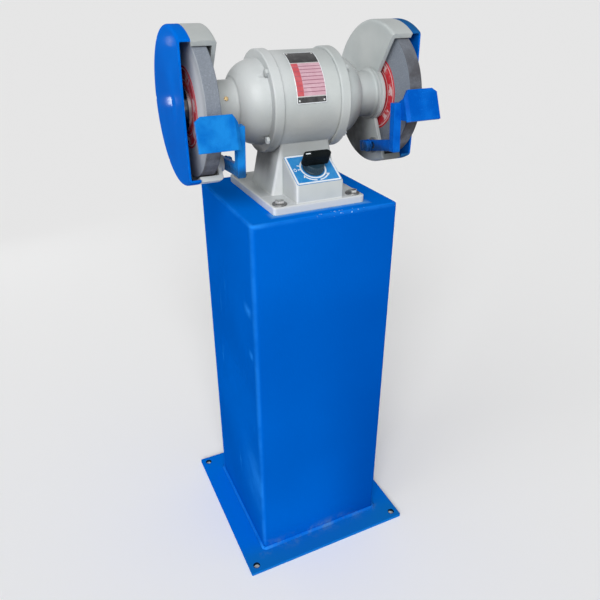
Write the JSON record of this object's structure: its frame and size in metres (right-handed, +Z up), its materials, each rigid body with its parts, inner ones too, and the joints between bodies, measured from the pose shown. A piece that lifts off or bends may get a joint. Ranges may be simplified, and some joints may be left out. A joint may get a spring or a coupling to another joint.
{
  "type": "pedestal grinder",
  "caption": "Pedestal grinder: guarded grinding wheels on a motor spindle, sliding and tilting tool rests and a rotary switch, on a square sheet-steel column with a bolt-down floor plate.",
  "frame": {"origin": "centre of the floor plate's underside", "axes": "+Z up, +X along the spindle to the operator's right, -Y towards the operator"},
  "size_m": [0.381, 0.335, 0.943],
  "materials": {
    "column_paint": "semi-gloss blue enamel",
    "cover_paint": "gloss blue enamel",
    "rest_paint": "satin blue enamel over a rough face",
    "casting_paint": "satin light grey enamel on cast iron",
    "abrasive": "open grey-brown grain",
    "label_paper": "printed red blotter",
    "turned_steel": "turned",
    "bearing_steel": "ground",
    "zinc": "bright zinc plate",
    "black_steel": "black oxide",
    "lamination": "stacked sheet",
    "copper_winding": "varnished wire",
    "dial_print": "printed blue and white",
    "plate_print": "printed black and red fields, no lettering",
    "black_plastic": "moulded",
    "knob_plastic": "satin moulded",
    "capacitor_case": "moulded"
  },
  "bodies": {
    "frame": {"base_plate": "column_paint", "base_weld": "column_paint", "column_shell": "column_paint", "column_top_plate": "column_paint", "foot_bolts": "zinc", "foot_washers": "black_steel", "foot_nuts": "zinc", "motor_frame": "casting_paint", "tie_bolts": "zinc", "tie_nuts": "zinc", "stator_core": "lamination", "stator_winding": "copper_winding", "dial_plate": "dial_print", "switch_body": "black_plastic", "name_plate": "plate_print", "name_plate_rivets": "zinc", "cable_gland": "black_plastic", "capacitor": "capacitor_case", "capacitor_clip": "zinc", "clip_screws": "zinc", "left_end_bell": "casting_paint", "left_bearing_outer": "bearing_steel", "left_bearing_balls": "bearing_steel", "left_guard": "casting_paint", "left_guard_screws": "zinc", "left_guard_cover": "cover_paint", "left_cover_screws": "zinc", "right_end_bell": "casting_paint", "right_bearing_outer": "bearing_steel", "right_bearing_balls": "bearing_steel", "right_guard": "casting_paint", "right_guard_screws": "zinc", "right_guard_cover": "cover_paint", "right_cover_screws": "zinc"},
    "spindle": {"spindle_shaft": "turned_steel", "rotor_core": "lamination", "left_bearing_inner": "bearing_steel", "left_inner_flange": "turned_steel", "left_outer_flange": "turned_steel", "left_spindle_nut": "zinc", "left_wheel": "abrasive", "left_wheel_labels": "label_paper", "right_bearing_inner": "bearing_steel", "right_inner_flange": "turned_steel", "right_outer_flange": "turned_steel", "right_spindle_nut": "zinc", "right_wheel": "abrasive", "right_wheel_labels": "label_paper"},
    "switch": {"switch_knob": "knob_plastic", "switch_spindle": "turned_steel"},
    "left_rest_clamp": {"left_rest_bolt": "rest_paint", "left_rest_washer": "rest_paint"},
    "left_rest": {"left_rest_bracket": "rest_paint", "left_rest_table": "rest_paint"},
    "right_rest_clamp": {"right_rest_bolt": "rest_paint", "right_rest_washer": "rest_paint"},
    "right_rest": {"right_rest_bracket": "rest_paint", "right_rest_table": "rest_paint"}
  },
  "joints": [
    {"name": "spindle_spin", "type": "hinge", "parent": "frame", "child": "spindle", "pos_m": [0, 0, 0.833], "axis": [1, 0, 0], "continuous": true},
    {"name": "switch_turn", "type": "hinge", "parent": "frame", "child": "switch", "pos_m": [0, -0.0705, 0.7413], "axis": [0, 0.5, -0.866], "range_deg": [0, 90]},
    {"name": "left_rest_tilt", "type": "hinge", "parent": "frame", "child": "left_rest_clamp", "pos_m": [-0.1307, -0.02839, 0.75501], "axis": [1, 0, 0], "range_deg": [0, 20]},
    {"name": "left_rest_slide", "type": "slide", "parent": "left_rest_clamp", "child": "left_rest", "axis": [0, -0.9976, 0.0698], "range_m": [0, 0.025]},
    {"name": "right_rest_tilt", "type": "hinge", "parent": "frame", "child": "right_rest_clamp", "pos_m": [0.1307, -0.02839, 0.75501], "axis": [1, 0, 0], "range_deg": [0, 20]},
    {"name": "right_rest_slide", "type": "slide", "parent": "right_rest_clamp", "child": "right_rest", "axis": [0, -0.9781, 0.2079], "range_m": [0, 0.0135]}
  ]
}
